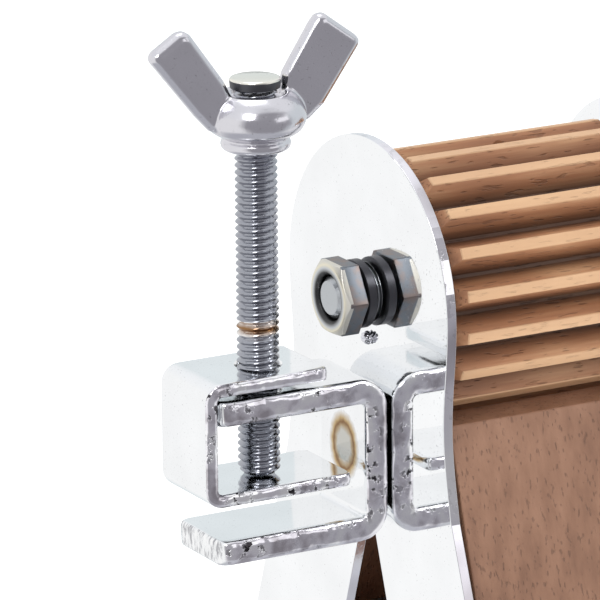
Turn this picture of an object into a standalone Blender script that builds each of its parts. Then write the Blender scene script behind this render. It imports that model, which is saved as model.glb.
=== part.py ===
"""Mountable orchestral ratchet: a toothed beech cylinder turned by a crank against two wooden tongues,
in a chromed sheet-steel frame with a screw clamp on its side.

Sizes are in millimetres here and become metres where a mesh is made. The origin is the clamp's seat, on
the screw's axis; +X runs along the axle away from the clamp, -Y is the front tongue's side, +Z is up.
"""

import math

import bmesh
import bpy
from mathutils import Vector

MM = 0.001
GAP = 0.3

# clamp
SCREW_DIA = 6.0
SCREW_PITCH = 1.0
STRIP_WIDTH = 14.0
FIXED_THICK = 3.6
FIXED_REACH = 26.8
FIXED_HEIGHT = 23.7
JAW_THICK = 1.9
JAW_HEIGHT = 17.8
JAW_TOP_REACH = 19.6
JAW_BOTTOM_REACH = 23.2
JAW_LIFT = 0.85
JAW_HOLE_PLAY = 0.8
BEND_INSIDE = 0.8

# frame plates
PLATE_FACE_X = 17.4
PLATE_THICK = 1.5
PLATE_SPACING = 42.0
AXLE_Z = 30.7
HEAD_RADIUS = 22.3
WAIST_HALF = 21.2
WAIST_DROP = 14.6
LEG_DROP = 72.0
LEG_HALF_AT_KNEE = 23.2
KNEE_DROP = 28.0
LEG_SLOPE = 0.36
CROTCH_DROP = 30.5
CROTCH_HALF = 0.6
CROTCH_SLOPE = 0.34
FOOT_ROUND = 2.0

# gear and axle
TEETH = 20
GEAR_RADIUS = 19.4
TOOTH_DEPTH = 3.2
LAND_ANGLE = 4.5
GULLET_ANGLE = 4.0
TOOTH_CHAMFER = 1.4
SPACER_THICK = 1.9
SPACER_RADIUS = 7.0
JOURNAL_DIA = 8.0
AXLE_THREAD_DIA = 6.0
PIN_DIA = 3.0
COLLAR_THICK = 1.9
COLLAR_RADIUS = 5.7
NUT_ACROSS_FLATS = 10.0
THIN_NUT_THICK = 3.4
FULL_NUT_THICK = 5.0
THREAD_END = 0.6

# crank
THRUST_THICK = 1.0
THRUST_RADIUS = 7.0
CRANK_THICK = 3.0
CRANK_WIDTH = 12.0
CRANK_RADIUS = 40.0
KNOB_LENGTH = 34.0
KNOB_RADIUS = 9.5
SPINDLE_DIA = 4.0
SPINDLE_HEAD_RADIUS = 3.6
SPINDLE_HEAD_THICK = 1.8

# tongues and the blocks that hold them
TONGUE_THICK = 6.0
TONGUE_FLEX_THICK = 3.4
TONGUE_SLOPE = 0.31
TONGUE_FACE_AT_KNEE = 22.9
TONGUE_TIP_LENGTH = 9.0
TONGUE_RELIEF_LENGTH = 4.0
TONGUE_SIDE_GAP = 0.8
ROOT_HEIGHT = 14.5
ROOT_LIFT = 0.5
BLOCK_INSET = 1.0
WOOD_SCREW_DIA = 3.0
WOOD_SCREW_HEAD_RADIUS = 3.0
WOOD_SCREW_HEAD_THICK = 1.6
WOOD_SCREW_LENGTH = 12.0
TONGUE_SCREW_LENGTH = 14.0

# wing head
HEAD_BASE_Z = 53.6
HEAD_HEIGHT = 8.4
WING_SPAN = 33.2
WING_THICK = 2.8
WING_ROUND = 0.9
SCREW_END_RIM = 0.6
SCREW_END_THICK = 1.6

# sheared ends of the clamp's strips
FIXED_CORNER = 2.0
JAW_CORNER = 1.4

# worked out from the sizes above
FIXED_LEFT = PLATE_FACE_X - GAP - FIXED_REACH
FIXED_RIGHT = PLATE_FACE_X - GAP
FIXED_LOW = -FIXED_THICK
FIXED_TOP = FIXED_LOW + FIXED_HEIGHT
JAW_LEFT = FIXED_LEFT - GAP - JAW_THICK
JAW_TOP = FIXED_TOP + JAW_LIFT + JAW_THICK
JAW_LOW = JAW_TOP - JAW_HEIGHT
INNER_X = PLATE_FACE_X + PLATE_THICK
FAR_INNER_X = INNER_X + PLATE_SPACING
FAR_FACE_X = FAR_INNER_X + PLATE_THICK
GEAR_X0 = INNER_X + SPACER_THICK + 2 * GAP
GEAR_X1 = FAR_INNER_X - SPACER_THICK - 2 * GAP
CRANK_X = FAR_FACE_X + THRUST_THICK + 2 * GAP
MID_X = (INNER_X + FAR_INNER_X) / 2


def collection(name):
    made = bpy.data.collections.new(name)
    bpy.context.scene.collection.children.link(made)
    return made


def material(name, colour, roughness, metallic):
    made = bpy.data.materials.new(name)
    made.use_nodes = True
    shader = made.node_tree.nodes["Principled BSDF"]
    shader.inputs["Base Color"].default_value = (*colour, 1.0)
    shader.inputs["Roughness"].default_value = roughness
    shader.inputs["Metallic"].default_value = metallic
    return made


def place(data, name, target, location=(0, 0, 0), turn=(0, 0, 0)):
    made = bpy.data.objects.new(name, data)
    made.location = Vector(location) * MM
    made.rotation_euler = turn
    target.objects.link(made)
    if target is CUTTERS:
        made.hide_render = True
        made.display_type = "WIRE"
    return made


def dress(obj, surface):
    """Give a part its material and shade its round faces smooth."""
    obj.data.materials.append(surface)
    if obj.type == "MESH" and obj.data.polygons:
        obj.data.shade_smooth()
        obj.data.set_sharp_from_angle(angle=math.radians(35))
    return obj


def flat(name, outlines, thick, location, turn, target=None):
    """A sheet cut to closed outlines, the first the edge and the others its holes."""
    curve = bpy.data.curves.new(name, "CURVE")
    curve.dimensions = "2D"
    curve.fill_mode = "BOTH"
    curve.extrude = thick / 2 * MM
    for outline in outlines:
        spline = curve.splines.new("POLY")
        spline.points.add(len(outline) - 1)
        spline.use_cyclic_u = True
        for point, (u, v) in zip(spline.points, outline):
            point.co = (u * MM, v * MM, 0, 1)
    return place(curve, name, target or PARTS, location, turn)


def as_mesh(obj):
    """Replace a curve object by the welded mesh it shows, so that it can be cut."""
    bpy.context.view_layer.update()
    evaluated = obj.evaluated_get(bpy.context.evaluated_depsgraph_get())
    mesh = bpy.data.meshes.new_from_object(evaluated)
    work = bmesh.new()
    work.from_mesh(mesh)
    bmesh.ops.remove_doubles(work, verts=work.verts, dist=0.00001)
    bmesh.ops.recalc_face_normals(work, faces=work.faces)
    work.to_mesh(mesh)
    work.free()
    name = obj.name
    home = obj.users_collection[0]
    matrix = obj.matrix_world.copy()
    bpy.data.objects.remove(obj)
    made = place(mesh, name, home)
    made.matrix_world = matrix
    return made


def turned(name, profile, location, turn=(0, 0, 0), closed=False, steps=48, target=None):
    """A lathe shape: (radius, height) points down its outer side, turned about the local Z axis."""
    mesh = bpy.data.meshes.new(name)
    work = bmesh.new()
    points = [work.verts.new((r * MM, 0, h * MM)) for r, h in profile]
    for first, second in zip(points, points[1:]):
        work.edges.new((first, second))
    if closed:
        work.edges.new((points[-1], points[0]))
    work.to_mesh(mesh)
    work.free()
    made = place(mesh, name, target or PARTS, location, turn)
    screw = made.modifiers.new("Turn", "SCREW")
    screw.steps = steps
    screw.render_steps = steps
    screw.use_merge_vertices = True
    screw.merge_threshold = 0.00001
    screw.use_smooth_shade = True
    screw.use_normal_calculate = closed
    return made


def ring(name, inner, outer, low, high, location, turn=(0, 0, 0), bevel=0.2, steps=40, target=None):
    profile = [(inner, high), (outer - bevel, high), (outer, high - bevel),
               (outer, low + bevel), (outer - bevel, low), (inner, low)]
    return turned(name, profile, location, turn, closed=True, steps=steps, target=target)


def rod(name, radius, low, high, location, turn=(0, 0, 0), steps=32):
    """A plain round cutter."""
    profile = [(0, high), (radius, high), (radius, low), (0, low)]
    return turned(name, profile, location, turn, steps=steps, target=CUTTERS)


def boolean(obj, other, operation="DIFFERENCE"):
    cut = obj.modifiers.new("Cut", "BOOLEAN")
    cut.operation = operation
    cut.object = other
    cut.solver = "EXACT"


def arc(centre, radius, start, end, steps):
    """Points on an arc, from start to end degrees."""
    angles = [math.radians(start + (end - start) * i / steps) for i in range(steps + 1)]
    return [(centre[0] + radius * math.cos(a), centre[1] + radius * math.sin(a)) for a in angles]


def circle(centre, radius, steps=32):
    return arc(centre, radius, 0, 360, steps)[:-1]


# Turns that bring a flat outline's two axes, or a lathe's axis, onto the world's.
YZ_SHEET = (math.radians(90), 0, math.radians(90))
XZ_SHEET = (math.radians(90), 0, 0)
ALONG_X = (0, math.radians(90), 0)

for old in list(bpy.data.objects):
    bpy.data.objects.remove(old)
PARTS = collection("ratchet")
CUTTERS = collection("cutters")

CHROME = (0.80, 0.82, 0.84)
STEEL = (0.55, 0.57, 0.60)
DARK_STEEL = (0.10, 0.10, 0.11)
BEECH = (0.52, 0.31, 0.18)
PALE_BEECH = (0.62, 0.42, 0.26)


def chrome(name):
    return material(name, CHROME, 0.08, 1.0)


def zinc(name):
    return material(name, STEEL, 0.32, 1.0)


def beech(name, colour=BEECH):
    return material(name, colour, 0.55, 0.0)


def leg_half(drop):
    """Half the frame's width across its legs' outer edges, at a depth below the axle."""
    return LEG_HALF_AT_KNEE + LEG_SLOPE * (drop - KNEE_DROP)


def crotch_half(drop):
    """Half the width of the gap between a plate's legs."""
    return CROTCH_HALF + CROTCH_SLOPE * (drop - CROTCH_DROP)


def tongue_face(drop):
    """Distance of a tongue's outer face from the middle plane."""
    return TONGUE_FACE_AT_KNEE + TONGUE_SLOPE * (drop - KNEE_DROP)


def block_inside(drop):
    return crotch_half(drop) + BLOCK_INSET


TONGUE_LEAN = math.atan(TONGUE_SLOPE)
ACROSS_TONGUE = TONGUE_THICK / math.cos(TONGUE_LEAN)
ROOT_LOW = LEG_DROP - ROOT_LIFT
ROOT_TOP = ROOT_LOW - ROOT_HEIGHT
BLOCK_OUT = ACROSS_TONGUE + GAP / math.cos(TONGUE_LEAN)
PLATE_SCREW_DROPS = (ROOT_TOP + ROOT_HEIGHT * 0.3, ROOT_TOP + ROOT_HEIGHT * 0.72)
TONGUE_SCREW_DROP = ROOT_TOP + ROOT_HEIGHT / 2
TONGUE_SCREW_XS = (INNER_X + PLATE_SPACING * 0.3, INNER_X + PLATE_SPACING * 0.7)
PLATE_SCREW_HOLE = WOOD_SCREW_DIA / 2 + GAP


def block_middle(drop):
    return (block_inside(drop) + tongue_face(drop) - BLOCK_OUT) / 2


def plate_outline():
    """Right half of the outline from the crown down, then mirrored: head, waist, legs and gap."""
    head = arc((0, 0), HEAD_RADIUS, 90, 0, 22)
    waist = []
    for i in range(1, 9):
        t = i / 8
        waist.append((HEAD_RADIUS + (WAIST_HALF - HEAD_RADIUS) * (1 - math.cos(math.pi * t)) / 2,
                      -WAIST_DROP * t))
    knee = []
    for i in range(1, 9):
        t = i / 8
        drop = WAIST_DROP + (KNEE_DROP - WAIST_DROP) * t
        knee.append((WAIST_HALF + (LEG_HALF_AT_KNEE - WAIST_HALF) * t * t * (1.6 - 0.6 * t), -drop))
    outer = (leg_half(LEG_DROP), -LEG_DROP)
    inner = (crotch_half(LEG_DROP), -LEG_DROP)
    foot = [(leg_half(LEG_DROP - FOOT_ROUND), -(LEG_DROP - FOOT_ROUND)),
            (outer[0] - FOOT_ROUND * 0.35, -(LEG_DROP - FOOT_ROUND * 0.3)),
            (outer[0] - FOOT_ROUND, -LEG_DROP),
            (inner[0] + FOOT_ROUND, -LEG_DROP),
            (inner[0] + FOOT_ROUND * 0.15, -(LEG_DROP - FOOT_ROUND * 0.3)),
            (crotch_half(LEG_DROP - FOOT_ROUND), -(LEG_DROP - FOOT_ROUND))]
    crotch = [(crotch_half(CROTCH_DROP), -CROTCH_DROP), (0, -(CROTCH_DROP - CROTCH_HALF))]
    half = head + waist + knee + foot + crotch
    other = [(-y, z) for y, z in reversed(half[1:-1])]
    return half + other


def screw_places():
    """Where the four wood screws pass a plate."""
    return [(side * block_middle(drop), -drop) for side in (-1, 1) for drop in PLATE_SCREW_DROPS]


def make_plates():
    holes = [circle((0, 0), JOURNAL_DIA / 2 + GAP, 40)]
    holes += [circle(spot, PLATE_SCREW_HOLE, 16) for spot in screw_places()]
    for name, x in (("near_plate", PLATE_FACE_X), ("far_plate", FAR_INNER_X)):
        spot = (x + PLATE_THICK / 2, 0, AXLE_Z)
        dress(flat(name, [plate_outline()] + holes, PLATE_THICK, spot, YZ_SHEET), chrome(name))


def make_gear():
    """Twenty flat-topped teeth with round gullets, their ends chamfered by a turned blank."""
    outline = []
    pitch = 360 / TEETH
    root = GEAR_RADIUS - TOOTH_DEPTH
    for tooth in range(TEETH):
        middle = 90 + pitch * (tooth + 0.5)
        for radius, angle in ((GEAR_RADIUS, -LAND_ANGLE / 2), (GEAR_RADIUS, LAND_ANGLE / 2),
                              (root + 0.55, pitch / 2 - GULLET_ANGLE / 2), (root + 0.1,
                                                                            pitch / 2 - GULLET_ANGLE / 5),
                              (root + 0.1, pitch / 2 + GULLET_ANGLE / 5), (root + 0.55,
                                                                           pitch / 2 + GULLET_ANGLE / 2)):
            a = math.radians(middle + angle)
            outline.append((radius * math.cos(a), radius * math.sin(a)))
    length = GEAR_X1 - GEAR_X0
    middle = ((GEAR_X0 + GEAR_X1) / 2, 0, AXLE_Z)
    gear = as_mesh(flat("gear", [outline], length + 2, middle, YZ_SHEET))
    low = GEAR_RADIUS - TOOTH_CHAMFER
    spread = 2 * TOOTH_CHAMFER
    half = length / 2
    blank = turned("gear_blank", [(0, half), (low, half), (low + spread, half - spread),
                                  (low + spread, spread - half), (low, -half), (0, -half)],
                   middle, ALONG_X, steps=80, target=CUTTERS)
    boolean(gear, blank, "INTERSECT")
    boolean(gear, rod("gear_bore", JOURNAL_DIA / 2 + GAP, -length, length, middle, ALONG_X, steps=40))
    boolean(gear, rod("gear_pin_hole", PIN_DIA / 2 + GAP, -JOURNAL_DIA, GEAR_RADIUS, middle))
    dress(gear, beech("gear"))
    axle_hole = rod("axle_pin_hole", PIN_DIA / 2 + GAP, -JOURNAL_DIA, JOURNAL_DIA, middle, steps=24)
    pin_top = root - 1.0
    turned("gear_pin", [(0, pin_top), (PIN_DIA / 2, pin_top - 0.3), (PIN_DIA / 2, -JOURNAL_DIA + 1.3),
                        (0, -JOURNAL_DIA + 1.0)], middle, steps=24)
    dress(bpy.data.objects["gear_pin"], zinc("gear_pin"))
    return axle_hole


def make_axle(pin_hole):
    thread = AXLE_THREAD_DIA / 2
    journal = JOURNAL_DIA / 2
    near_end = PLATE_FACE_X - 3 * GAP - COLLAR_THICK - THIN_NUT_THICK + 0.2
    far_end = CRANK_X + CRANK_THICK + 3 * GAP + THRUST_THICK + FULL_NUT_THICK + 1.0
    shoulder = CRANK_X - GAP
    axle = turned("axle", [(0, far_end), (thread - THREAD_END, far_end), (thread, far_end - THREAD_END),
                           (thread, shoulder), (journal, shoulder), (journal, PLATE_FACE_X - GAP),
                           (thread, PLATE_FACE_X - GAP), (thread, near_end + THREAD_END),
                           (thread - THREAD_END, near_end), (0, near_end)],
                  (0, 0, AXLE_Z), ALONG_X, steps=40)
    boolean(axle, pin_hole)
    dress(axle, zinc("axle"))


def hexagon_nut(name, thick, x, outward):
    """A hex nut on the axle, points to the front and back, its outer corners taken off by a cone."""
    corner = NUT_ACROSS_FLATS / math.sqrt(3)
    outline = [(corner * math.cos(math.radians(60 * i)),
                corner * math.sin(math.radians(60 * i))) for i in range(6)]
    nut = as_mesh(flat(name, [outline], thick, (x + thick / 2, 0, AXLE_Z), YZ_SHEET))
    flats = NUT_ACROSS_FLATS / 2
    cone = [(0, thick), (flats - 0.25, thick), (flats + 2.0, thick - 2.25 / math.sqrt(3)),
            (flats + 2.0, -1), (0, -1)]
    turn = ALONG_X if outward > 0 else (0, -ALONG_X[1], 0)
    foot = x if outward > 0 else x + thick
    boolean(nut, turned(name + "_cone", cone, (foot, 0, AXLE_Z), turn, steps=60, target=CUTTERS),
            "INTERSECT")
    bore = AXLE_THREAD_DIA / 2 + GAP
    dish = [(0, thick + 1), (bore + 1.4, thick + 1), (bore, thick - 0.4), (bore, -1), (0, -1)]
    boolean(nut, turned(name + "_bore", dish, (foot, 0, AXLE_Z), turn, steps=40, target=CUTTERS))
    dress(nut, zinc(name))


def make_axle_rings():
    bore = AXLE_THREAD_DIA / 2 + GAP
    seat = (0, 0, AXLE_Z)
    right = PLATE_FACE_X - 2 * GAP
    dress(ring("axle_collar", bore, COLLAR_RADIUS, right - COLLAR_THICK, right, seat, ALONG_X),
          material("axle_collar", DARK_STEEL, 0.35, 1.0))
    nut_x = right - COLLAR_THICK - GAP - THIN_NUT_THICK
    hexagon_nut("axle_nut", THIN_NUT_THICK, nut_x, -1)
    inner = JOURNAL_DIA / 2 + GAP
    for name, x in (("near_spacer", INNER_X + GAP), ("far_spacer", GEAR_X1 + GAP)):
        dress(ring(name, inner, SPACER_RADIUS, x, x + SPACER_THICK, seat, ALONG_X), zinc(name))
    x = FAR_FACE_X + GAP
    dress(ring("thrust_washer", inner, THRUST_RADIUS, x, x + THRUST_THICK, seat, ALONG_X),
          zinc("thrust_washer"))
    x = CRANK_X + CRANK_THICK + GAP
    dress(ring("crank_washer", bore, COLLAR_RADIUS, x, x + THRUST_THICK, seat, ALONG_X),
          zinc("crank_washer"))
    hexagon_nut("crank_nut", FULL_NUT_THICK, x + THRUST_THICK + GAP, 1)


def make_crank():
    """A flat bar with round ends, hanging from the axle, and a turned knob on a headed spindle."""
    half = CRANK_WIDTH / 2
    outline = arc((0, 0), half, 0, 180, 16) + arc((0, -CRANK_RADIUS), half, 180, 360, 16)
    holes = [circle((0, 0), AXLE_THREAD_DIA / 2 + GAP), circle((0, -CRANK_RADIUS), SPINDLE_DIA / 2 + GAP)]
    arm = flat("crank_arm", [outline] + holes, CRANK_THICK, (CRANK_X + CRANK_THICK / 2, 0, AXLE_Z),
               YZ_SHEET)
    dress(arm, chrome("crank_arm"))
    seat = (0, 0, AXLE_Z - CRANK_RADIUS)
    bore = SPINDLE_DIA / 2 + GAP
    foot = CRANK_X + CRANK_THICK + GAP
    top = foot + KNOB_LENGTH
    outside = [(bore, top), (KNOB_RADIUS * 0.62, top)]
    for i in range(15):
        t = i / 14
        swell = 0.62 + 0.38 * math.sin(math.pi * (0.18 + 0.5 * t)) ** 2 - 0.28 * max(0.0, t - 0.62) / 0.38
        outside.append((KNOB_RADIUS * swell, top - 0.6 - (KNOB_LENGTH - 3.6) * t))
    collar = [(KNOB_RADIUS * 0.78, foot + 2.4), (KNOB_RADIUS * 0.78, foot + 0.4), (KNOB_RADIUS * 0.72,
                                                                                   foot), (bore, foot)]
    dress(turned("knob", outside + collar, seat, ALONG_X, closed=True, steps=40), beech("knob", PALE_BEECH))
    pin = SPINDLE_DIA / 2
    head = top + GAP
    spindle = [(0, head + SPINDLE_HEAD_THICK), (SPINDLE_HEAD_RADIUS * 0.6, head + SPINDLE_HEAD_THICK),
               (SPINDLE_HEAD_RADIUS, head + 0.6), (SPINDLE_HEAD_RADIUS, head), (pin, head), (pin,
                                                                                             CRANK_X - GAP),
               (0, CRANK_X - GAP)]
    dress(turned("knob_spindle", spindle, seat, ALONG_X, steps=32), zinc("knob_spindle"))


def tip_drop():
    """Depth at which a tongue's inner top edge stands GAP clear of the circle of the tooth crests."""
    offset = ACROSS_TONGUE - TONGUE_FACE_AT_KNEE + TONGUE_SLOPE * KNEE_DROP
    reach = GEAR_RADIUS + GAP
    a = 1 + TONGUE_SLOPE ** 2
    b = -2 * offset * TONGUE_SLOPE
    c = offset ** 2 - reach ** 2
    return (-b + math.sqrt(b * b - 4 * a * c)) / (2 * a)


def wood_screw(name, head_drop, length, location, turn):
    """A screw whose head sits head_drop above its seat at the local origin, shank down local Z."""
    r = WOOD_SCREW_DIA / 2
    top = WOOD_SCREW_HEAD_RADIUS
    if head_drop > 0:
        head = [(0, head_drop), (top * 0.55, head_drop), (top * 0.95, head_drop * 0.45), (top, 0), (r, 0)]
    else:
        head = [(0, 0), (top, 0), (r, r - top)]
    tip = [(r, 2.4 - length), (0, -length)]
    dress(turned(name, head + tip, location, turn, steps=20), zinc(name))


def make_tongue(side, prefix):
    """One tongue as its free blade and its foot, which part at the line where the wood bends."""
    tip = tip_drop()
    bend = ROOT_TOP

    def at(drop, depth=0.0):
        return (side * (tongue_face(drop) - depth / math.cos(TONGUE_LEAN)), -drop)

    width = PLATE_SPACING - 2 * TONGUE_SIDE_GAP
    spot = (MID_X, 0, AXLE_Z)
    shoulder = tip + TONGUE_TIP_LENGTH
    blade = [at(tip), at(tip, TONGUE_THICK), at(shoulder, TONGUE_THICK),
             at(shoulder + TONGUE_RELIEF_LENGTH, TONGUE_FLEX_THICK), at(bend - GAP, TONGUE_FLEX_THICK),
             at(bend - GAP)]
    dress(flat(prefix + "_tongue", [blade], width, spot, YZ_SHEET), beech(prefix + "_tongue"))
    low = ROOT_LOW
    foot = as_mesh(flat(prefix + "_tongue_foot", [[at(bend), at(bend, TONGUE_THICK), at(low,
                                                                                        TONGUE_THICK),
                                                   at(low)]],
                        width, spot, YZ_SHEET))
    foot_spot = [(side * (tongue_face(d) - BLOCK_OUT), -d) for d in (bend, low)]
    inner = [(side * block_inside(d), -d) for d in (low, bend)]
    block_width = PLATE_SPACING - 2 * GAP
    block = as_mesh(flat(prefix + "_block", [foot_spot + inner], block_width, spot, YZ_SHEET))
    lean = (side * (math.pi / 2 - TONGUE_LEAN) * -1, 0, 0)
    clear = WOOD_SCREW_DIA / 2 + GAP
    head = WOOD_SCREW_HEAD_RADIUS + GAP
    for number, x in enumerate(TONGUE_SCREW_XS, 1):
        seat = (x, side * tongue_face(TONGUE_SCREW_DROP), AXLE_Z - TONGUE_SCREW_DROP)
        sink = turned(f"{prefix}_sink_{number}", [(0, 2), (head, 2), (head, -GAP), (clear,
                                                                                    clear - head - GAP),
                                                  (clear, -TONGUE_SCREW_LENGTH - 1), (0,
                                                                                      -TONGUE_SCREW_LENGTH - 1)],
                      seat, lean, steps=24, target=CUTTERS)
        boolean(foot, sink)
        boolean(block, sink)
        wood_screw(f"{prefix}_tongue_screw_{number}", 0, TONGUE_SCREW_LENGTH, seat, lean)
    dress(foot, beech(prefix + "_tongue_foot"))
    for end, x, out in (("near", PLATE_FACE_X - GAP, -1), ("far", FAR_FACE_X + GAP, 1)):
        turn = (0, ALONG_X[1] * out, 0)
        for number, drop in enumerate(PLATE_SCREW_DROPS, 1):
            seat = (x, side * block_middle(drop), AXLE_Z - drop)
            hole = rod(f"{prefix}_{end}_hole_{number}", clear, -WOOD_SCREW_LENGTH - 1, 1, seat, turn,
                       steps=16)
            boolean(block, hole)
            wood_screw(f"{prefix}_{end}_screw_{number}", WOOD_SCREW_HEAD_THICK, WOOD_SCREW_LENGTH, seat,
                       turn)
    dress(block, beech(prefix + "_block"))


def bent_strip(left, low, top, thick, top_end, bottom_end, opens_right):
    """Outline of a strip bent to a C: two limbs and an upright, round inside and outside the bends."""
    inside = BEND_INSIDE
    outside = BEND_INSIDE + thick
    if opens_right:
        bend_low = arc((left + outside, low + outside), outside, 180, 270, 6)
        bend_top = arc((left + outside, top - outside), outside, 90, 180, 6)
        inner_low = arc((left + outside, low + outside), inside, 270, 180, 3)
        inner_top = arc((left + outside, top - outside), inside, 180, 90, 3)
        return (bend_top + bend_low + [(bottom_end, low), (bottom_end, low + thick)]
                + inner_low + inner_top + [(top_end, top - thick), (top_end, top)])
    right = left
    bend_low = arc((right - outside, low + outside), outside, 270, 360, 6)
    bend_top = arc((right - outside, top - outside), outside, 0, 90, 6)
    inner_low = arc((right - outside, low + outside), inside, 360, 270, 3)
    inner_top = arc((right - outside, top - outside), inside, 90, 0, 3)
    return (bend_low + bend_top + [(top_end, top), (top_end, top - thick)]
            + inner_top + inner_low + [(bottom_end, low + thick), (bottom_end, low)])


def round_ends(strip, left, right, low, high, radius):
    """Round a strip's two corners in plan at the end that the larger of left and right doesn't name."""
    half = STRIP_WIDTH / 2
    spread = STRIP_WIDTH
    end, back = (left, right + spread) if strip.name == "fixed_clamp" else (right, left - spread)
    sense = 1 if back > end else -1
    near = arc((end + sense * radius, -half + radius), radius, 270, 270 - sense * 90, 5)
    far = arc((end + sense * radius, half - radius), radius, 90 + sense * 90, 90, 5)
    plan = flat(strip.name + "_plan", [near + far + [(back, half), (back, -half)]], (high - low) + 2,
                (0, 0, (low + high) / 2), (0, 0, 0), target=CUTTERS)
    boolean(strip, as_mesh(plan), "INTERSECT")


def make_clamp():
    """The welded C with the tapped limb, and the sliding C that the screw pushes down inside it."""
    fixed = as_mesh(flat("fixed_clamp", [bent_strip(FIXED_RIGHT, FIXED_LOW, FIXED_TOP, FIXED_THICK,
                                                    FIXED_LEFT, FIXED_LEFT, False)],
                         STRIP_WIDTH, (0, 0, 0), XZ_SHEET))
    tapped = SCREW_DIA / 2 + GAP
    boolean(fixed, rod("tapped_hole", tapped, FIXED_TOP - FIXED_THICK - 1, FIXED_TOP + 1, (0, 0, 0),
                       steps=40))
    round_ends(fixed, FIXED_LEFT, FIXED_RIGHT, FIXED_LOW, FIXED_TOP, FIXED_CORNER)
    dress(fixed, chrome("fixed_clamp"))
    jaw = as_mesh(flat("sliding_jaw", [bent_strip(JAW_LEFT, JAW_LOW, JAW_TOP, JAW_THICK,
                                                  JAW_LEFT + JAW_TOP_REACH, JAW_LEFT + JAW_BOTTOM_REACH,
                                                  True)],
                       STRIP_WIDTH, (0, 0, 0), XZ_SHEET))
    boolean(jaw, rod("jaw_hole", (SCREW_DIA + JAW_HOLE_PLAY) / 2, JAW_TOP - JAW_THICK - 1, JAW_TOP + 1,
                     (0, 0, 0), steps=40))
    round_ends(jaw, JAW_LEFT, JAW_LEFT + JAW_BOTTOM_REACH, JAW_LOW, JAW_TOP, JAW_CORNER)
    dress(jaw, chrome("sliding_jaw"))


def make_wing_screw():
    """The screw, from the jaw's lower limb up through the wing head to its round end, and the head itself."""
    r = SCREW_DIA / 2
    tip = JAW_LOW + JAW_THICK + GAP
    base = HEAD_BASE_Z
    crown = base + HEAD_HEIGHT
    seat = crown + GAP
    top = seat + SCREW_END_THICK
    rim = r + SCREW_END_RIM
    stem = [(0, top), (rim - 0.3, top), (rim, top - 0.3), (rim, seat), (r, seat),
            (r, tip + THREAD_END), (r - THREAD_END, tip), (0, tip)]
    dress(turned("wing_screw", stem, (0, 0, 0), steps=32), chrome("wing_screw"))
    bore = r + GAP
    shape = [(1.1, crown), (1.9, crown - 0.4), (2.8, crown - 1.2), (3.5, crown - 2.3), (3.8, crown - 3.5),
             (3.65, base + 3.9), (3.15, base + 3.0), (2.2, base + 2.35), (1.2, base + 2.0), (1.15,
                                                                                             base + 1.75),
             (1.55, base + 1.45), (1.65, base + 0.9), (1.4, base + 0.35), (0.7, base)]
    hub = [(bore, crown)] + [(bore + wall, z) for wall, z in shape] + [(bore, base)]
    head = turned("wing_head", hub, (0, 0, 0), closed=True, steps=48)
    half = WING_SPAN / 2
    ear = [(bore + 0.8, base + 5.4), (bore + 1.0, base + 8.0), (bore + 1.6, base + 10.5), (half - 7.1,
                                                                                           base + 17.3),
           (half - 6.2, base + 18.25), (half - 5.1, base + 18.2), (half - 0.6, base + 15.1), (half,
                                                                                              base + 14.4),
           (half - 0.1, base + 13.6), (bore + 6.7, base + 5.6), (bore + 4.4, base + 3.5), (bore + 2.2,
                                                                                           base + 2.8)]
    for side in (-1, 1):
        wing = as_mesh(flat(f"ear_{side + 1}", [[(side * x, z) for x, z in ear]], WING_THICK, (0, 0, 0),
                            XZ_SHEET,
                            target=CUTTERS))
        soft = wing.modifiers.new("Soft", "BEVEL")
        soft.width = WING_ROUND * MM
        soft.segments = 3
        soft.limit_method = "ANGLE"
        soft.angle_limit = math.radians(60)
        boolean(head, wing, "UNION")
    dress(head, chrome("wing_head"))


make_plates()
make_axle(make_gear())
make_axle_rings()
make_crank()
make_tongue(-1, "front")
make_tongue(1, "rear")
make_clamp()
make_wing_screw()
print("parts:", len(PARTS.objects))
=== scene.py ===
# %% [markdown]
# # Orchestral ratchet
# A toothed beech cylinder turns under two sprung wooden tongues in a chromed frame with a screw clamp.
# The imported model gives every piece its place; this script gives the pieces their surfaces and fine detail.

import math

import bmesh
import bpy
from mathutils import Matrix, Vector, noise as relief_noise


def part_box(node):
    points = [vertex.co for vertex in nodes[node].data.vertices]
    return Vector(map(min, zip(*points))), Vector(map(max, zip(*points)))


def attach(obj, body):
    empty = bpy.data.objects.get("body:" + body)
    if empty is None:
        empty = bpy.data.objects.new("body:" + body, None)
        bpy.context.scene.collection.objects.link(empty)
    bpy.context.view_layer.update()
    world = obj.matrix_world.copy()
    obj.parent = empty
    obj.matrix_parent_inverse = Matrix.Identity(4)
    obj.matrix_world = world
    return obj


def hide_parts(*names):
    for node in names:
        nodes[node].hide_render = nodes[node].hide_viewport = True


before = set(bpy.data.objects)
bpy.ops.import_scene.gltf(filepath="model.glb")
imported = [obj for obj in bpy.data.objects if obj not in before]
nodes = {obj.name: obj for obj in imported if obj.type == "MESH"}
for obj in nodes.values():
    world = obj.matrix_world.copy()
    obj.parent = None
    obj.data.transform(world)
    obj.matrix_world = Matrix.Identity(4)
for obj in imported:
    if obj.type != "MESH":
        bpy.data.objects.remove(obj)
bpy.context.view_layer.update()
MM = 0.001
AXLE = Vector((0, 0, 30.7)) * MM
print("nodes:", len(nodes))

# %% [markdown]
# The photograph was measured, and this camera is the one that fits its outlines best.
# It stands a little above the part, in front and to the left, with a long lens.

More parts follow.
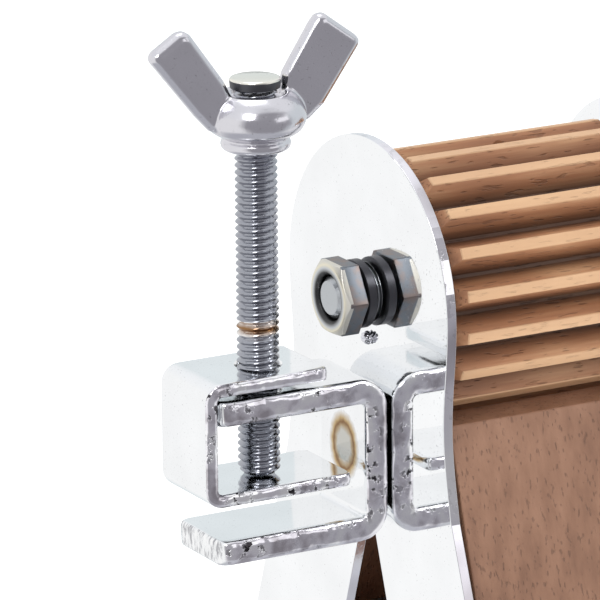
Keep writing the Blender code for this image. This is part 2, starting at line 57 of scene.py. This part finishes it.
# %% Camera
LENS = 356.0
YAW = 0.508
PITCH = -0.276
ROLL = -0.009
EYE = Vector((-379.9, -694.5, 256.2)) * MM
ahead = Vector((math.sin(YAW) * math.cos(PITCH), math.cos(YAW) * math.cos(PITCH), math.sin(PITCH)))
right = Vector((math.cos(YAW), -math.sin(YAW), 0))
upward = right.cross(ahead)
turn = Matrix((right, upward, -ahead)).transposed() @ Matrix.Rotation(ROLL, 3, "Z")
camera = bpy.data.objects.new("camera", bpy.data.cameras.new("camera"))
camera.data.lens = LENS
camera.data.sensor_width = 36
camera.data.clip_end = 20
camera.matrix_world = Matrix.Translation(EYE) @ turn.to_4x4()
bpy.context.scene.collection.objects.link(camera)
bpy.context.scene.camera = camera
print("camera at", [round(c, 3) for c in EYE])

# %% [markdown]
# A few helpers build node groups. Each group gives a colour, a roughness and a bump height.

# %% Material helpers
def new_group(name, outputs):
    group = bpy.data.node_groups.new(name, "ShaderNodeTree")
    for socket, kind in outputs:
        group.interface.new_socket(socket, in_out="OUTPUT", socket_type=kind)
    return group


def add(tree, kind, **values):
    """A node with its properties and, by name or number, its input values."""
    node = tree.nodes.new(kind)
    for key, value in values.items():
        if hasattr(node, key):
            setattr(node, key, value)
        else:
            node.inputs[key].default_value = value
    return node


def maths(tree, operation, first, second=None):
    node = tree.nodes.new("ShaderNodeMath")
    node.operation = operation
    for index, value in enumerate((first, second)):
        if value is None:
            continue
        if isinstance(value, (int, float)):
            node.inputs[index].default_value = value
        else:
            tree.links.new(value, node.inputs[index])
    return node.outputs[0]


def ramp(tree, factor, stops):
    node = tree.nodes.new("ShaderNodeValToRGB")
    elements = node.color_ramp.elements
    while len(elements) < len(stops):
        elements.new(0.5)
    for element, (place, colour) in zip(elements, stops):
        element.position = place
        element.color = (*colour, 1)
    tree.links.new(factor, node.inputs[0])
    return node.outputs["Color"]


def mix(tree, factor, first, second):
    node = tree.nodes.new("ShaderNodeMix")
    node.data_type = "RGBA"
    for socket, value in ((node.inputs[0], factor), (node.inputs[6], first), (node.inputs[7], second)):
        if isinstance(value, (int, float)):
            socket.default_value = value
        elif isinstance(value, tuple):
            socket.default_value = (*value, 1)
        else:
            tree.links.new(value, socket)
    return node.outputs[2]


def noise(tree, vector, scale, detail=3.0, rough=0.5):
    node = tree.nodes.new("ShaderNodeTexNoise")
    node.inputs["Scale"].default_value = scale
    node.inputs["Detail"].default_value = detail
    node.inputs["Roughness"].default_value = rough
    tree.links.new(vector, node.inputs["Vector"])
    return node.outputs["Fac"]


def stretched(tree, vector, scale):
    node = tree.nodes.new("ShaderNodeMapping")
    node.inputs["Scale"].default_value = scale
    tree.links.new(vector, node.inputs["Vector"])
    return node.outputs["Vector"]


def finish_material(name, group, metallic, bump=0.0, coat=0.0):
    """A Principled material that takes its colour, roughness and bump from the group."""
    material = bpy.data.materials.new(name)
    material.use_nodes = True
    tree = material.node_tree
    shader = tree.nodes["Principled BSDF"]
    shader.inputs["Metallic"].default_value = metallic
    shader.inputs["Coat Weight"].default_value = coat
    shader.inputs["Coat Roughness"].default_value = 0.25
    source = tree.nodes.new("ShaderNodeGroup")
    source.node_tree = group
    tree.links.new(source.outputs["Colour"], shader.inputs["Base Color"])
    tree.links.new(source.outputs["Roughness"], shader.inputs["Roughness"])
    if bump:
        relief = tree.nodes.new("ShaderNodeBump")
        relief.inputs["Distance"].default_value = bump
        relief.inputs["Strength"].default_value = 1.0
        tree.links.new(source.outputs["Height"], relief.inputs["Height"])
        tree.links.new(relief.outputs["Normal"], shader.inputs["Normal"])
    return material


SOCKETS = (("Colour", "NodeSocketColor"), ("Roughness", "NodeSocketFloat"), ("Height", "NodeSocketFloat"))


def end_group(tree, colour, roughness, height):
    out = tree.nodes.new("NodeGroupOutput")
    for socket, value in zip(out.inputs, (colour, roughness, height)):
        tree.links.new(value, socket)


def object_point(tree):
    return tree.nodes.new("ShaderNodeTexCoord").outputs["Object"]


print("helpers ready")

# %% [markdown]
# Chrome over sheet steel: a mirror with a slight waviness, fine scratches and a few pits.
# Where the sheet was cut, its edge is duller and purple-grey, with pits in patches.

# %% Metals
def apart(tree, vector):
    node = tree.nodes.new("ShaderNodeSeparateXYZ")
    tree.links.new(vector, node.inputs[0])
    return node.outputs


def between(tree, value, low, high):
    """1 where value lies between low and high."""
    return maths(tree, "MULTIPLY", maths(tree, "GREATER_THAN", value, low),
                 maths(tree, "LESS_THAN", value, high))


def weld_stain(tree, point, shade):
    """The brown heat ring of the spot weld, on the inner face of the fixed clamp's upright."""
    x, y, z = apart(tree, point)
    across = maths(tree, "DIVIDE", maths(tree, "ADD", y, 0.0002), 0.0029)
    along = maths(tree, "DIVIDE", maths(tree, "SUBTRACT", z, 0.0089), 0.0035)
    far = maths(tree, "SQRT", maths(tree, "ADD", maths(tree, "MULTIPLY", across, across),
                                    maths(tree, "MULTIPLY", along, along)))
    far = maths(tree, "ADD", far, maths(tree, "MULTIPLY", noise(tree, point, 900, 3), 0.25))
    far = maths(tree, "MULTIPLY", far, 0.5)
    ring = ramp(tree, far, ((0.36, (0.55, 0.54, 0.50)), (0.48, (0.40, 0.30, 0.18)),
                            (0.55, (0.22, 0.11, 0.04)),
                            (0.62, (0.50, 0.36, 0.18)), (0.80, (0.84, 0.86, 0.88))))
    here = maths(tree, "MULTIPLY", between(tree, x, 0.0130, 0.0139), maths(tree, "LESS_THAN", far, 0.80))
    shade = mix(tree, here, shade, ring)
    torn = noise(tree, stretched(tree, point, (300.0, 1500.0, 420.0)), 1.0, 4, 0.7)
    streaks = ramp(tree, torn, ((0.40, (0.42, 0.42, 0.44)), (0.50, (0.86, 0.87, 0.88)),
                                (0.62, (0.95, 0.95, 0.95))))
    sheared = maths(tree, "MULTIPLY", maths(tree, "LESS_THAN", x, -0.0093), between(tree, z, -0.004, 0.0001))
    return mix(tree, sheared, shade, streaks)


def heat_band(tree, point, shade):
    """A narrow brown band round the screw, left by heat."""
    height = maths(tree, "SUBTRACT", apart(tree, point)[2], 0.0287)
    near = maths(tree, "ABSOLUTE", maths(tree, "ADD", height,
                                         maths(tree, "MULTIPLY", noise(tree, point, 500), 0.0006)))
    band = ramp(tree, maths(tree, "MULTIPLY", near, 500), ((0.1, (0.30, 0.16, 0.07)), (0.6, (1, 1, 1))))
    return mix(tree, maths(tree, "LESS_THAN", near, 0.0012), shade, band)


def nut_ring(tree, point, shade):
    """The yellowish chamfer ring on the nut's outer face, with painted shade darkening the countersink inside it.
    """
    x, y, z = apart(tree, point)
    z = maths(tree, "SUBTRACT", z, AXLE.z)
    radius = maths(tree, "SQRT", maths(tree, "ADD", maths(tree, "MULTIPLY", y, y),
                                       maths(tree, "MULTIPLY", z, z)))
    # Near the centre this ramp paints shade into the countersink; further out it gives the yellowish chamfer ring.
    chamfer_ring_and_hole_shade = ramp(tree, maths(tree, "MULTIPLY", radius, 1000 / 8),
                 ((0.40, (0.05, 0.05, 0.05)), (0.46, (0.10, 0.10, 0.10)),
                  (0.53, (0.58, 0.60, 0.62)), (0.585, (0.82, 0.77, 0.62)), (0.64, (0.70, 0.68, 0.62))))
    face = maths(tree, "MULTIPLY", maths(tree, "LESS_THAN", x, 0.0122),
                 maths(tree, "LESS_THAN", radius, 0.0056))
    rust = ramp(tree, noise(tree, point, 480, 3), ((0.46, (0, 0, 0)), (0.66, (0.55, 0.55, 0.55))))
    shade = mix(tree, rust, shade, (0.30, 0.20, 0.15))
    return mix(tree, face, shade, chamfer_ring_and_hole_shade)


def metal(name, colour, rough, spread, pits=0.0, cut_axis=None, wave=0.35, stain=None):
    group = new_group(name, SOCKETS)
    point = object_point(group)
    cloud = noise(group, point, 90, 4)
    fine = noise(group, point, 2600, 2, 0.7)
    waves = noise(group, point, 55, 1)
    shade = ramp(group, cloud, ((0.3, tuple(c * 0.93 for c in colour)), (0.7, colour)))
    roughness = maths(group, "ADD", rough, maths(group, "MULTIPLY", cloud, spread))
    dots = ramp(group, fine, ((0.66, (0, 0, 0)), (0.74, (1, 1, 1))))
    shade = mix(group, maths(group, "MULTIPLY", dots, pits), shade, tuple(c * 0.25 for c in colour))
    height = maths(group, "ADD", maths(group, "MULTIPLY", waves, wave),
                   maths(group, "MULTIPLY", dots, -0.2 * pits))
    if cut_axis is not None:
        axis, least, most = cut_axis
        normal = group.nodes.new("ShaderNodeTexCoord").outputs["Normal"]
        facing = maths(group, "ABSOLUTE", apart(group, normal if axis == 0 else point)[axis])
        cut = between(group, facing, least, most)
        grit = noise(group, point, 260 if axis else 60, 3, 0.5 if axis else 0.4)
        patch = ramp(group, noise(group, point, 130, 2), ((0.50, (0, 0, 0)), (0.58, (1, 1, 1))))
        holes = ramp(group, noise(group, point, 760, 3, 0.6), ((0.40, (1, 1, 1)), (0.45, (0, 0, 0))))
        holes = maths(group, "MULTIPLY", maths(group, "MULTIPLY", holes, patch), 1.0 if axis else 0.15)
        edge = ramp(group, grit, ((0.34, (0.50, 0.47, 0.50)), (0.50, (0.88, 0.86, 0.91)),
                                  (0.66, (1.0, 1.0, 1.0))))
        edge = mix(group, holes, edge, (0.05, 0.045, 0.05))
        shade = mix(group, cut, shade, edge)
        roughness = maths(group, "ADD", roughness, maths(group, "MULTIPLY", cut, 0.06))
        relief = maths(group, "ADD", maths(group, "MULTIPLY", grit, 1.6 if axis else 0.3),
                       maths(group, "MULTIPLY", holes, -2.5 if axis else -0.5))
        height = maths(group, "ADD", height, maths(group, "MULTIPLY", cut, relief))
    if stain:
        shade = stain(group, point, shade)
    end_group(group, shade, roughness, height)
    return finish_material(name, group, 1.0, bump=0.00006)


plate_chrome = metal("plate_chrome", (0.96, 0.97, 0.98), 0.02, 0.04, pits=0.35,
                     cut_axis=(0, -1, 0.35), wave=0.25)
strip_chrome = metal("strip_chrome", (0.94, 0.95, 0.96), 0.05, 0.08, pits=0.6,
                     cut_axis=(1, 0.0064, 1), stain=weld_stain)
bar_chrome = metal("bar_chrome", (0.86, 0.88, 0.90), 0.05, 0.07, pits=0.5)
round_chrome = metal("round_chrome", (0.74, 0.74, 0.79), 0.06, 0.10, pits=0.6, wave=0.6)
thread_chrome = metal("thread_chrome", (0.38, 0.39, 0.43), 0.10, 0.10, pits=0.8, stain=heat_band)
zinc = metal("satin_zinc", (0.50, 0.52, 0.54), 0.22, 0.15, pits=0.5, wave=0.2)
cast_chrome = metal("cast_chrome", (0.72, 0.71, 0.75), 0.10, 0.14, pits=0.9, wave=2.0)
end_chrome = metal("end_chrome", (0.88, 0.86, 0.78), 0.12, 0.12, pits=0.3, wave=0.3)
nut_zinc = metal("nut_zinc", (0.20, 0.22, 0.245), 0.32, 0.16, pits=0.6, wave=0.5, stain=nut_ring)
# Dark steel for the spring washer; on the screw cap's side faces it is painted shade.
dark_steel_and_painted_shade = metal("dark_steel_and_painted_shade", (0.10, 0.10, 0.11), 0.30, 0.2, pits=0.3, wave=0.2)
print("metals made")

# %% [markdown]
# Beech: a straight grain drawn along one axis, with the short dark flecks that mark this wood.
# On the toothed cylinder the crests are paler, and painted shade darkens the gullets towards their roots.

# %% Woods
def wood(name, along, dark, middle, pale, radial=False):
    group = new_group(name, SOCKETS)
    point = object_point(group)
    grain_scale = [420.0, 420.0, 420.0]
    grain_scale[along] = 22.0
    fleck_scale = [2600.0, 2600.0, 2600.0]
    fleck_scale[along] = 420.0
    grain = noise(group, stretched(group, point, grain_scale), 1.0, 4, 0.6)
    flecks = noise(group, stretched(group, point, fleck_scale), 1.0, 1, 0.4)
    patch = noise(group, point, 45, 2)
    tone = maths(group, "ADD", maths(group, "MULTIPLY", grain, 0.6), maths(group, "MULTIPLY", patch, 0.4))
    shade = ramp(group, tone, ((0.32, dark), (0.5, middle), (0.7, pale)))
    spots = ramp(group, flecks, ((0.63, (0, 0, 0)), (0.72, (1, 1, 1))))
    shade = mix(group, maths(group, "MULTIPLY", spots, 0.34), shade, tuple(c * 0.35 for c in dark))
    if radial:
        parts = group.nodes.new("ShaderNodeSeparateXYZ")
        group.links.new(point, parts.inputs[0])
        height = maths(group, "SUBTRACT", parts.outputs[2], AXLE.z)
        square = maths(group, "ADD", maths(group, "MULTIPLY", parts.outputs[1], parts.outputs[1]),
                       maths(group, "MULTIPLY", height, height))
        radius = maths(group, "SQRT", square)
        # Painted shade: the colour is multiplied darker from the crests down to the gullets' roots.
        rise_from_root = maths(group, "MULTIPLY", maths(group, "SUBTRACT", radius, 0.0161), 1 / 0.0033)
        gullet_shade = ramp(group, rise_from_root, ((0.0, (0.12, 0.10, 0.09)), (0.45, (0.62, 0.55, 0.5)),
                                  (0.86, (0.95, 0.9, 0.86)), (0.95, (1.0, 1.0, 1.0))))
        node = group.nodes.new("ShaderNodeMix")
        node.data_type = "RGBA"
        node.blend_type = "MULTIPLY"
        node.inputs[0].default_value = 1.0
        group.links.new(shade, node.inputs[6])
        group.links.new(gullet_shade, node.inputs[7])
        crest = maths(group, "GREATER_THAN", radius, 0.01925)
        shade = mix(group, maths(group, "MULTIPLY", crest, 0.75), node.outputs[2], pale)
    roughness = maths(group, "ADD", 0.42, maths(group, "MULTIPLY", grain, 0.25))
    height = maths(group, "ADD", grain, maths(group, "MULTIPLY", spots, -0.8))
    end_group(group, shade, roughness, height)
    return finish_material(name, group, 0.0, bump=0.00012, coat=0.12)


gear_wood = wood("gear_beech", 0, (0.28, 0.125, 0.065), (0.46, 0.225, 0.115), (0.74, 0.47, 0.27),
                 radial=True)
board_wood = wood("board_beech", 2, (0.20, 0.095, 0.055), (0.275, 0.138, 0.082), (0.35, 0.185, 0.115))
block_wood = wood("block_beech", 0, (0.28, 0.115, 0.058), (0.38, 0.165, 0.085), (0.46, 0.22, 0.12))
knob_wood = wood("knob_beech", 0, (0.36, 0.17, 0.085), (0.50, 0.27, 0.14), (0.60, 0.35, 0.20))
print("woods made")

# %% Give every node its material
finishes = {
    plate_chrome: ("near_plate", "far_plate"),
    bar_chrome: ("crank_arm",),
    strip_chrome: ("fixed_clamp", "sliding_jaw"),
    round_chrome: ("wing_screw", "wing_head"),
    dark_steel_and_painted_shade: ("axle_collar",),
    nut_zinc: ("axle_nut",),
    gear_wood: ("gear",),
    board_wood: ("front_tongue", "rear_tongue", "front_tongue_foot", "rear_tongue_foot"),
    block_wood: ("front_block", "rear_block"),
    knob_wood: ("knob",),
}
chosen = {name: material for material, names in finishes.items() for name in names}
for name, piece in nodes.items():
    for place in piece.material_slots:
        place.material = chosen.get(name, zinc)
print("finished nodes:", len(nodes))

# %% [markdown]
# Every sheet and board has soft edges, which catch the light as the photograph shows.

# %% Soft edges
ROUNDED = {"near_plate": 0.3, "far_plate": 0.3, "crank_arm": 0.5,
           "axle_nut": 0.15, "crank_nut": 0.15, "gear": 0.18, "front_tongue": 0.25, "rear_tongue": 0.25,
           "front_tongue_foot": 0.25, "rear_tongue_foot": 0.25, "front_block": 0.3, "rear_block": 0.3}
for name, width in ROUNDED.items():
    weld = nodes[name].modifiers.new("weld", "WELD")
    weld.merge_threshold = 0.001 * MM
    flat = nodes[name].modifiers.new("flat", "DECIMATE")
    flat.decimate_type = "DISSOLVE"
    flat.angle_limit = math.radians(0.4)
    soft = nodes[name].modifiers.new("soft_edges", "BEVEL")
    soft.width = width * MM
    soft.segments = 3
    soft.limit_method = "ANGLE"
    soft.angle_limit = math.radians(40)
    soft.use_clamp_overlap = True
    soft.harden_normals = True
print("edges softened:", len(ROUNDED))

# %% [markdown]
# The wing screw is cut with its real thread, one millimetre a turn, and replaces the plain solid.

# %% Threaded screw
def ring_mesh(name, rows, closed_ends=True):
    """A closed tube through rows of points, each row a ring."""
    work = bmesh.new()
    rings = [[work.verts.new(point) for point in row] for row in rows]
    for first, second in zip(rings, rings[1:]):
        for i in range(len(first)):
            j = (i + 1) % len(first)
            work.faces.new((first[i], first[j], second[j], second[i]))
    if closed_ends:
        work.faces.new(list(reversed(rings[0])))
        work.faces.new(rings[-1])
    bmesh.ops.recalc_face_normals(work, faces=work.faces)
    mesh = bpy.data.meshes.new(name)
    work.to_mesh(mesh)
    work.free()
    made = bpy.data.objects.new(name, mesh)
    bpy.context.scene.collection.objects.link(made)
    mesh.shade_smooth()
    mesh.set_sharp_from_angle(angle=math.radians(50))
    return made


def threaded(name, radius, bottom, top, pitch=1.0, depth=0.42, around=40, per_turn=8):
    """Rows of points up a right-hand thread, tapered at its foot, in millimetres."""
    rows = []
    count = int((top - bottom) / pitch * per_turn)
    for level in range(count + 1):
        z = bottom + (top - bottom) * level / count
        row = []
        for i in range(around):
            angle = 2 * math.pi * i / around
            phase = (z / pitch - angle / (2 * math.pi)) % 1.0
            groove = 1 - abs(2 * phase - 1)
            groove = min(1.0, max(0.0, (groove - 0.12) / 0.76))
            r = radius - depth * groove
            r = min(r, radius - 0.7 + (z - bottom), radius - 0.7 + (top - z) + 0.3)
            row.append(Vector((r * math.cos(angle), r * math.sin(angle), z)) * MM)
        rows.append(row)
    return ring_mesh(name, rows)


screw_low, screw_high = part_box("wing_screw")
CROWN = screw_high[2] / MM - 1.6


def lathe_rows(profile, around=64):
    """Rings of points for a turned shape; profile holds (radius, height) in millimetres."""
    return [[Vector((r * math.cos(2 * math.pi * i / around), r * math.sin(2 * math.pi * i / around), z)) * MM
             for i in range(around)] for r, z in profile]


thread = threaded("screw_thread", 3.0, screw_low[2] / MM, CROWN + 0.1)
cap = ring_mesh("screw_end", lathe_rows(((0.3, CROWN), (3.5, CROWN + 0.2), (3.6, CROWN + 1.3),
                                         (3.45, CROWN + 1.52), (3.2, CROWN + 1.6), (0.3, CROWN + 1.62))))
print("thread points:", len(thread.data.vertices))

# %% [markdown]
# The wing head is a casting: a turned hub with two thick ears that melt into it.
# The pieces are joined, remeshed finely and smoothed, so the joins flow as in the photograph.

# %% Wing head
HUB = ((0.3, 53.6), (4.0, 53.6), (4.7, 53.95), (4.95, 54.5), (4.85, 55.05), (4.45, 55.35), (4.55, 55.6),
       (5.5, 55.95), (6.45, 56.6), (6.95, 57.5), (7.1, 58.4), (6.95, 59.3), (6.5, 60.2), (5.8, 61.05), (5.1, 61.6),
       (4.6, 61.85),
       (4.2, 61.8), (3.85, 61.5), (3.75, 60.9), (0.3, 60.9))
EARS = (((-3.2, 59.0), (-3.9, 61.6), (-5.2, 64.2), (-10.3, 71.2), (-11.2, 71.7), (-12.2, 71.6),
         (-15.9, 69.3), (-16.4, 68.6), (-16.3, 67.9), (-9.6, 59.6), (-7.4, 57.2), (-5.5, 56.4)),
        ((3.2, 59.0), (3.9, 61.6), (4.3, 64.0), (8.7, 70.6), (9.6, 71.6), (10.7, 71.7), (15.6, 68.1),
         (16.2, 67.4), (16.1, 66.6), (10.4, 58.8), (8.0, 56.9), (5.5, 56.4)))
WING_THICK = 2.8


def add_ear(work, outline):
    """A thick plate to a closed outline in the plane Y = 0, its edges well rounded."""
    half = WING_THICK / 2
    front = [work.verts.new(Vector((x, -half, z)) * MM) for x, z in outline]
    back = [work.verts.new(Vector((x, half, z)) * MM) for x, z in outline]
    faces = [work.faces.new(front), work.faces.new(back[::-1])]
    for i in range(len(front)):
        j = (i + 1) % len(front)
        faces.append(work.faces.new((front[j], front[i], back[i], back[j])))
    bmesh.ops.recalc_face_normals(work, faces=faces)
    rims = list({e for e in faces[0].edges} | {e for e in faces[1].edges})
    bmesh.ops.bevel(work, geom=rims, offset=1.2 * MM, segments=5, profile=0.5, affect="EDGES", material=-1)


hub = ring_mesh("wing_hub", lathe_rows(HUB))
work = bmesh.new()
work.from_mesh(hub.data)
for outline in EARS:
    add_ear(work, outline)
work.to_mesh(hub.data)
work.free()
fine = hub.modifiers.new("fine", "REMESH")
fine.mode = "VOXEL"
fine.voxel_size = 0.2 * MM
soft = hub.modifiers.new("soft", "SMOOTH")
soft.factor = 0.5
soft.iterations = 9
bpy.context.view_layer.update()
cast = bpy.data.meshes.new_from_object(hub.evaluated_get(bpy.context.evaluated_depsgraph_get()))
bpy.data.objects.remove(hub)
cast.materials.clear()
wing = bpy.data.objects.new("wing_casting", cast)
bpy.context.scene.collection.objects.link(wing)
cast.shade_smooth()
for piece, slot, surface in ((thread, "wing_screw", thread_chrome), (cap, "wing_screw", end_chrome),
                             (wing, "wing_head", cast_chrome)):
    piece.data.materials.append(surface)
    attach(piece, "clamp_screw")
# The cap's side faces take the dark material as painted shade, standing for the shadow in the groove under its
# rim.
cap.data.materials.append(dark_steel_and_painted_shade)
for face in cap.data.polygons:
    face.material_index = 1 if abs(face.normal.z) < 0.5 else 0
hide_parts("wing_screw")
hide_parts("wing_head")
print("wing faces:", len(cast.polygons))

# %% [markdown]
# The clamp is two bent strips. Each is swept with well-rounded long edges, and its sawn faces are dented,
# as plating leaves them over rough steel. The screw's holes are cut through them.

# %% Bent strips
STRIP_HALF = 7.0


def path_of(x_end, low, top, x_upright, bend, far_x, step=0.3):
    """Points and directions along a C of strip: along the lower limb, up, and back along the upper limb."""
    sense = 1 if x_upright > x_end else -1
    legs = [((x_end, low), (x_upright - sense * bend, low))]
    points = []

    def line(start, end):
        span = math.dist(start, end)
        count = max(2, int(span / step))
        way = ((end[0] - start[0]) / span, (end[1] - start[1]) / span)
        points.extend(((start[0] + way[0] * span * i / count, start[1] + way[1] * span * i / count), way)
                      for i in range(count))

    def corner(centre, start):
        for i in range(12):
            angle = math.radians(start + 90 * i / 12)
            out = (sense * math.cos(angle), math.sin(angle))
            way = (-sense * math.sin(angle), math.cos(angle))
            points.append(((centre[0] + bend * out[0], centre[1] + bend * out[1]), way))

    line(*legs[0])
    corner((x_upright - sense * bend, low + bend), -90)
    line((x_upright, low + bend), (x_upright, top - bend))
    corner((x_upright - sense * bend, top - bend), 0)
    line((x_upright - sense * bend, top), (far_x, top))
    points.append(((far_x, top), (-sense, 0.0)))
    return points


def section(thick, round_edge):
    """A rounded rectangle: across the thickness and across the strip's width."""
    half = thick / 2
    points = []
    for cu, cv, start in ((1, 1, 0), (-1, 1, 90), (-1, -1, 180), (1, -1, 270)):
        for i in range(6):
            angle = math.radians(start + 90 * i / 5)
            points.append((cu * (half - round_edge) + round_edge * math.cos(angle),
                           cv * (STRIP_HALF - round_edge) + round_edge * math.sin(angle)))
    fine = []
    for first, second in zip(points, points[1:] + points[:1]):
        count = max(1, int(math.dist(first, second) / 0.35))
        fine.extend((first[0] + (second[0] - first[0]) * i / count,
                     first[1] + (second[1] - first[1]) * i / count)
                    for i in range(count))
    return fine


def swept_strip(name, path, thick, round_edge, corner):
    """The strip's rings, drawn in at both ends and rounded in plan, with dents in its sawn faces."""
    lengths = [0.0]
    for (first, _), (second, _) in zip(path, path[1:]):
        lengths.append(lengths[-1] + math.dist(first, second))
    total = lengths[-1]
    outline = section(thick, round_edge)
    rows = []
    for (place, way), at in zip(path, lengths):
        near = min(at, total - at)
        plan = (STRIP_HALF if near >= corner
                else STRIP_HALF - corner + math.sqrt(corner ** 2 - (corner - near) ** 2))
        slim = 1.0 if near >= 0.4 else 1 - 0.22 * ((0.4 - near) / 0.4) ** 2
        row = []
        for u, v in outline:
            dent = 0.0
            if abs(v) > STRIP_HALF - 0.25:
                spot = Vector((place[0] * 0.9, v, place[1] * 0.9 + u * 1.1))
                rough = relief_noise.fractal(spot * 0.55, 1.0, 2.2, 3)
                dent = 0.10 + 0.16 * max(-0.5, min(1.0, rough))
            across = v * plan / STRIP_HALF
            across -= math.copysign(dent, across)
            u *= slim
            row.append(Vector((place[0] + way[1] * u, across, place[1] - way[0] * u)) * MM)
        rows.append(row)
    return ring_mesh(name, rows)


def bored(piece, radius, low, high):
    """A round hole through a limb, on the screw's axis."""
    drill = ring_mesh(piece.name + "_drill", lathe_rows(((radius, low), (radius, high))))
    cut = piece.modifiers.new("bore", "BOOLEAN")
    cut.operation = "DIFFERENCE"
    cut.solver = "EXACT"
    cut.object = drill
    bpy.context.view_layer.update()
    mesh = bpy.data.meshes.new_from_object(piece.evaluated_get(bpy.context.evaluated_depsgraph_get()))
    piece.modifiers.clear()
    piece.data = mesh
    bpy.data.objects.remove(drill)
    return piece


def limbs(node, thick):
    (x0, _, z0), (x1, _, z1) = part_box(node)
    return x0 / MM, x1 / MM, z0 / MM + thick / 2, z1 / MM - thick / 2


x0, x1, z0, z1 = limbs("fixed_clamp", 3.6)
fixed = swept_strip("fixed_strip", path_of(x0, z0, z1, x1 - 1.8, 2.6, x0), 3.6, 1.15, 2.0)
fixed = bored(fixed, 3.3, z1 - 3, z1 + 3)
x0, x1, z0, z1 = limbs("sliding_jaw", 1.9)
jaw = swept_strip("jaw_strip", path_of(x1, z0, z1, x0 + 0.95, 1.75, x0 + 19.6), 1.9, 0.78, 1.4)
jaw = bored(jaw, 3.4, z1 - 2, z1 + 2)
for piece, node, body in ((fixed, "fixed_clamp", "frame"), (jaw, "sliding_jaw", "clamp_jaw")):
    piece.data.materials.clear()
    piece.data.materials.append(strip_chrome)
    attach(piece, body)
    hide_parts(node)
print("strip points:", len(fixed.data.vertices), len(jaw.data.vertices))

# %% Spring washer behind the nut
washer_rows = []
(x0, _, _), (x1, _, _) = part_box("axle_collar")
for r, x in ((3.35, x1 / MM - 0.1), (4.5, x1 / MM - 0.1), (4.9, x1 / MM - 0.35), (4.9, x0 / MM + 0.35),
             (4.5, x0 / MM + 0.1), (3.35, x0 / MM + 0.1)):
    washer_rows.append([Vector((x, r * math.cos(2 * math.pi * i / 48),
                                30.7 + r * math.sin(2 * math.pi * i / 48))) * MM
                        for i in range(48)])
washer = ring_mesh("spring_washer", washer_rows)
washer.data.materials.append(dark_steel_and_painted_shade)
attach(washer, "gear_crank")
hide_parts("axle_collar")

# %% Weld bead under the axle's collar
work = bmesh.new()
bmesh.ops.create_icosphere(work, subdivisions=4, radius=0.9 * MM)
for vert in work.verts:
    way = vert.co.normalized()
    swell = 1 + 0.16 * math.sin(7 * way.x + 3 * way.y) * math.cos(6 * way.z)
    vert.co = (Vector((vert.co.x * 0.8, vert.co.y * 1.15, vert.co.z)) * swell
               + Vector((16.95, -0.9, 24.3)) * MM)
bead_mesh = bpy.data.meshes.new("weld_bead")
work.to_mesh(bead_mesh)
work.free()
bead_mesh.shade_smooth()
bead = bpy.data.objects.new("weld_bead", bead_mesh)
bpy.context.scene.collection.objects.link(bead)
bead_mesh.materials.append(round_chrome)
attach(bead, "frame")
print("weld bead made")

# %% [markdown]
# A pale floor and a bright, even studio keep the background white.
# The world's colours, seen only in reflections, draw the dark streaks that chrome shows.

# %% Studio
FLOOR_Z = -41.4 * MM
floor_mesh = bpy.data.meshes.new("floor")
work = bmesh.new()
bmesh.ops.create_grid(work, x_segments=1, y_segments=1, size=6)
work.to_mesh(floor_mesh)
work.free()
floor = bpy.data.objects.new("floor", floor_mesh)
floor.location = (0, 0, FLOOR_Z)
bpy.context.scene.collection.objects.link(floor)
white = bpy.data.materials.new("floor_white")
white.use_nodes = True
white.node_tree.nodes["Principled BSDF"].inputs["Base Color"].default_value = (0.93, 0.93, 0.93, 1)
white.node_tree.nodes["Principled BSDF"].inputs["Roughness"].default_value = 0.8
white.node_tree.nodes["Principled BSDF"].inputs["Emission Color"].default_value = (1, 1, 1, 1)
white.node_tree.nodes["Principled BSDF"].inputs["Emission Strength"].default_value = 0.42
floor_mesh.materials.append(white)

floor.visible_glossy = False

world = bpy.data.worlds.new("studio")
world.use_nodes = True
bpy.context.scene.world = world
tree = world.node_tree
background = tree.nodes["Background"]
x, y, z = apart(tree, tree.nodes.new("ShaderNodeTexCoord").outputs["Generated"])


def fade(value, start, end):
    node = tree.nodes.new("ShaderNodeMapRange")
    node.interpolation_type = "SMOOTHSTEP"
    node.inputs["From Min"].default_value = start
    node.inputs["From Max"].default_value = end
    tree.links.new(value, node.inputs["Value"])
    return node.outputs["Result"]


# What the chrome sees: white on the left, blue-grey on the right, the dark room behind the camera.
mirror = mix(tree, fade(x, -0.15, 0.30), (1.0, 1.0, 1.0), (0.78, 0.83, 0.85))
mirror = mix(tree, fade(z, 0.30, 0.62), mirror, (0.95, 0.96, 0.98))
mirror = mix(tree, fade(y, -0.35, -0.70), mirror, (0.36, 0.355, 0.38))
mirror = mix(tree, fade(z, -0.60, -0.85), mirror, (0.55, 0.56, 0.60))
lit = mix(tree, fade(z, -0.3, 0.8), (0.50, 0.50, 0.50), (0.95, 0.95, 0.95))
rays = tree.nodes.new("ShaderNodeLightPath")
shown = mix(tree, rays.outputs["Is Glossy Ray"], lit, mirror)
tree.links.new(mix(tree, rays.outputs["Is Camera Ray"], shown, (1.0, 1.0, 1.0)), background.inputs["Color"])
background.inputs["Strength"].default_value = 1.0


def area_light(name, place, aim, size, power):
    light = bpy.data.lights.new(name, "AREA")
    light.shape = "RECTANGLE"
    light.size, light.size_y = size
    light.energy = power
    made = bpy.data.objects.new(name, light)
    made.location = place
    made.rotation_euler = (Vector(aim) - Vector(place)).to_track_quat("-Z", "Y").to_euler()
    bpy.context.scene.collection.objects.link(made)
    return made


area_light("key", (-0.55, -0.55, 0.75), (0.03, 0, 0), (0.35, 0.35), 2.2)
area_light("fill", (0.6, -0.8, 0.35), (0.03, 0, 0), (0.6, 0.4), 0.6)
area_light("top", (0.05, 0.2, 0.9), (0.03, 0, 0), (0.5, 0.5), 0.9)
bpy.context.scene.view_settings.view_transform = "Standard"
print("studio ready")
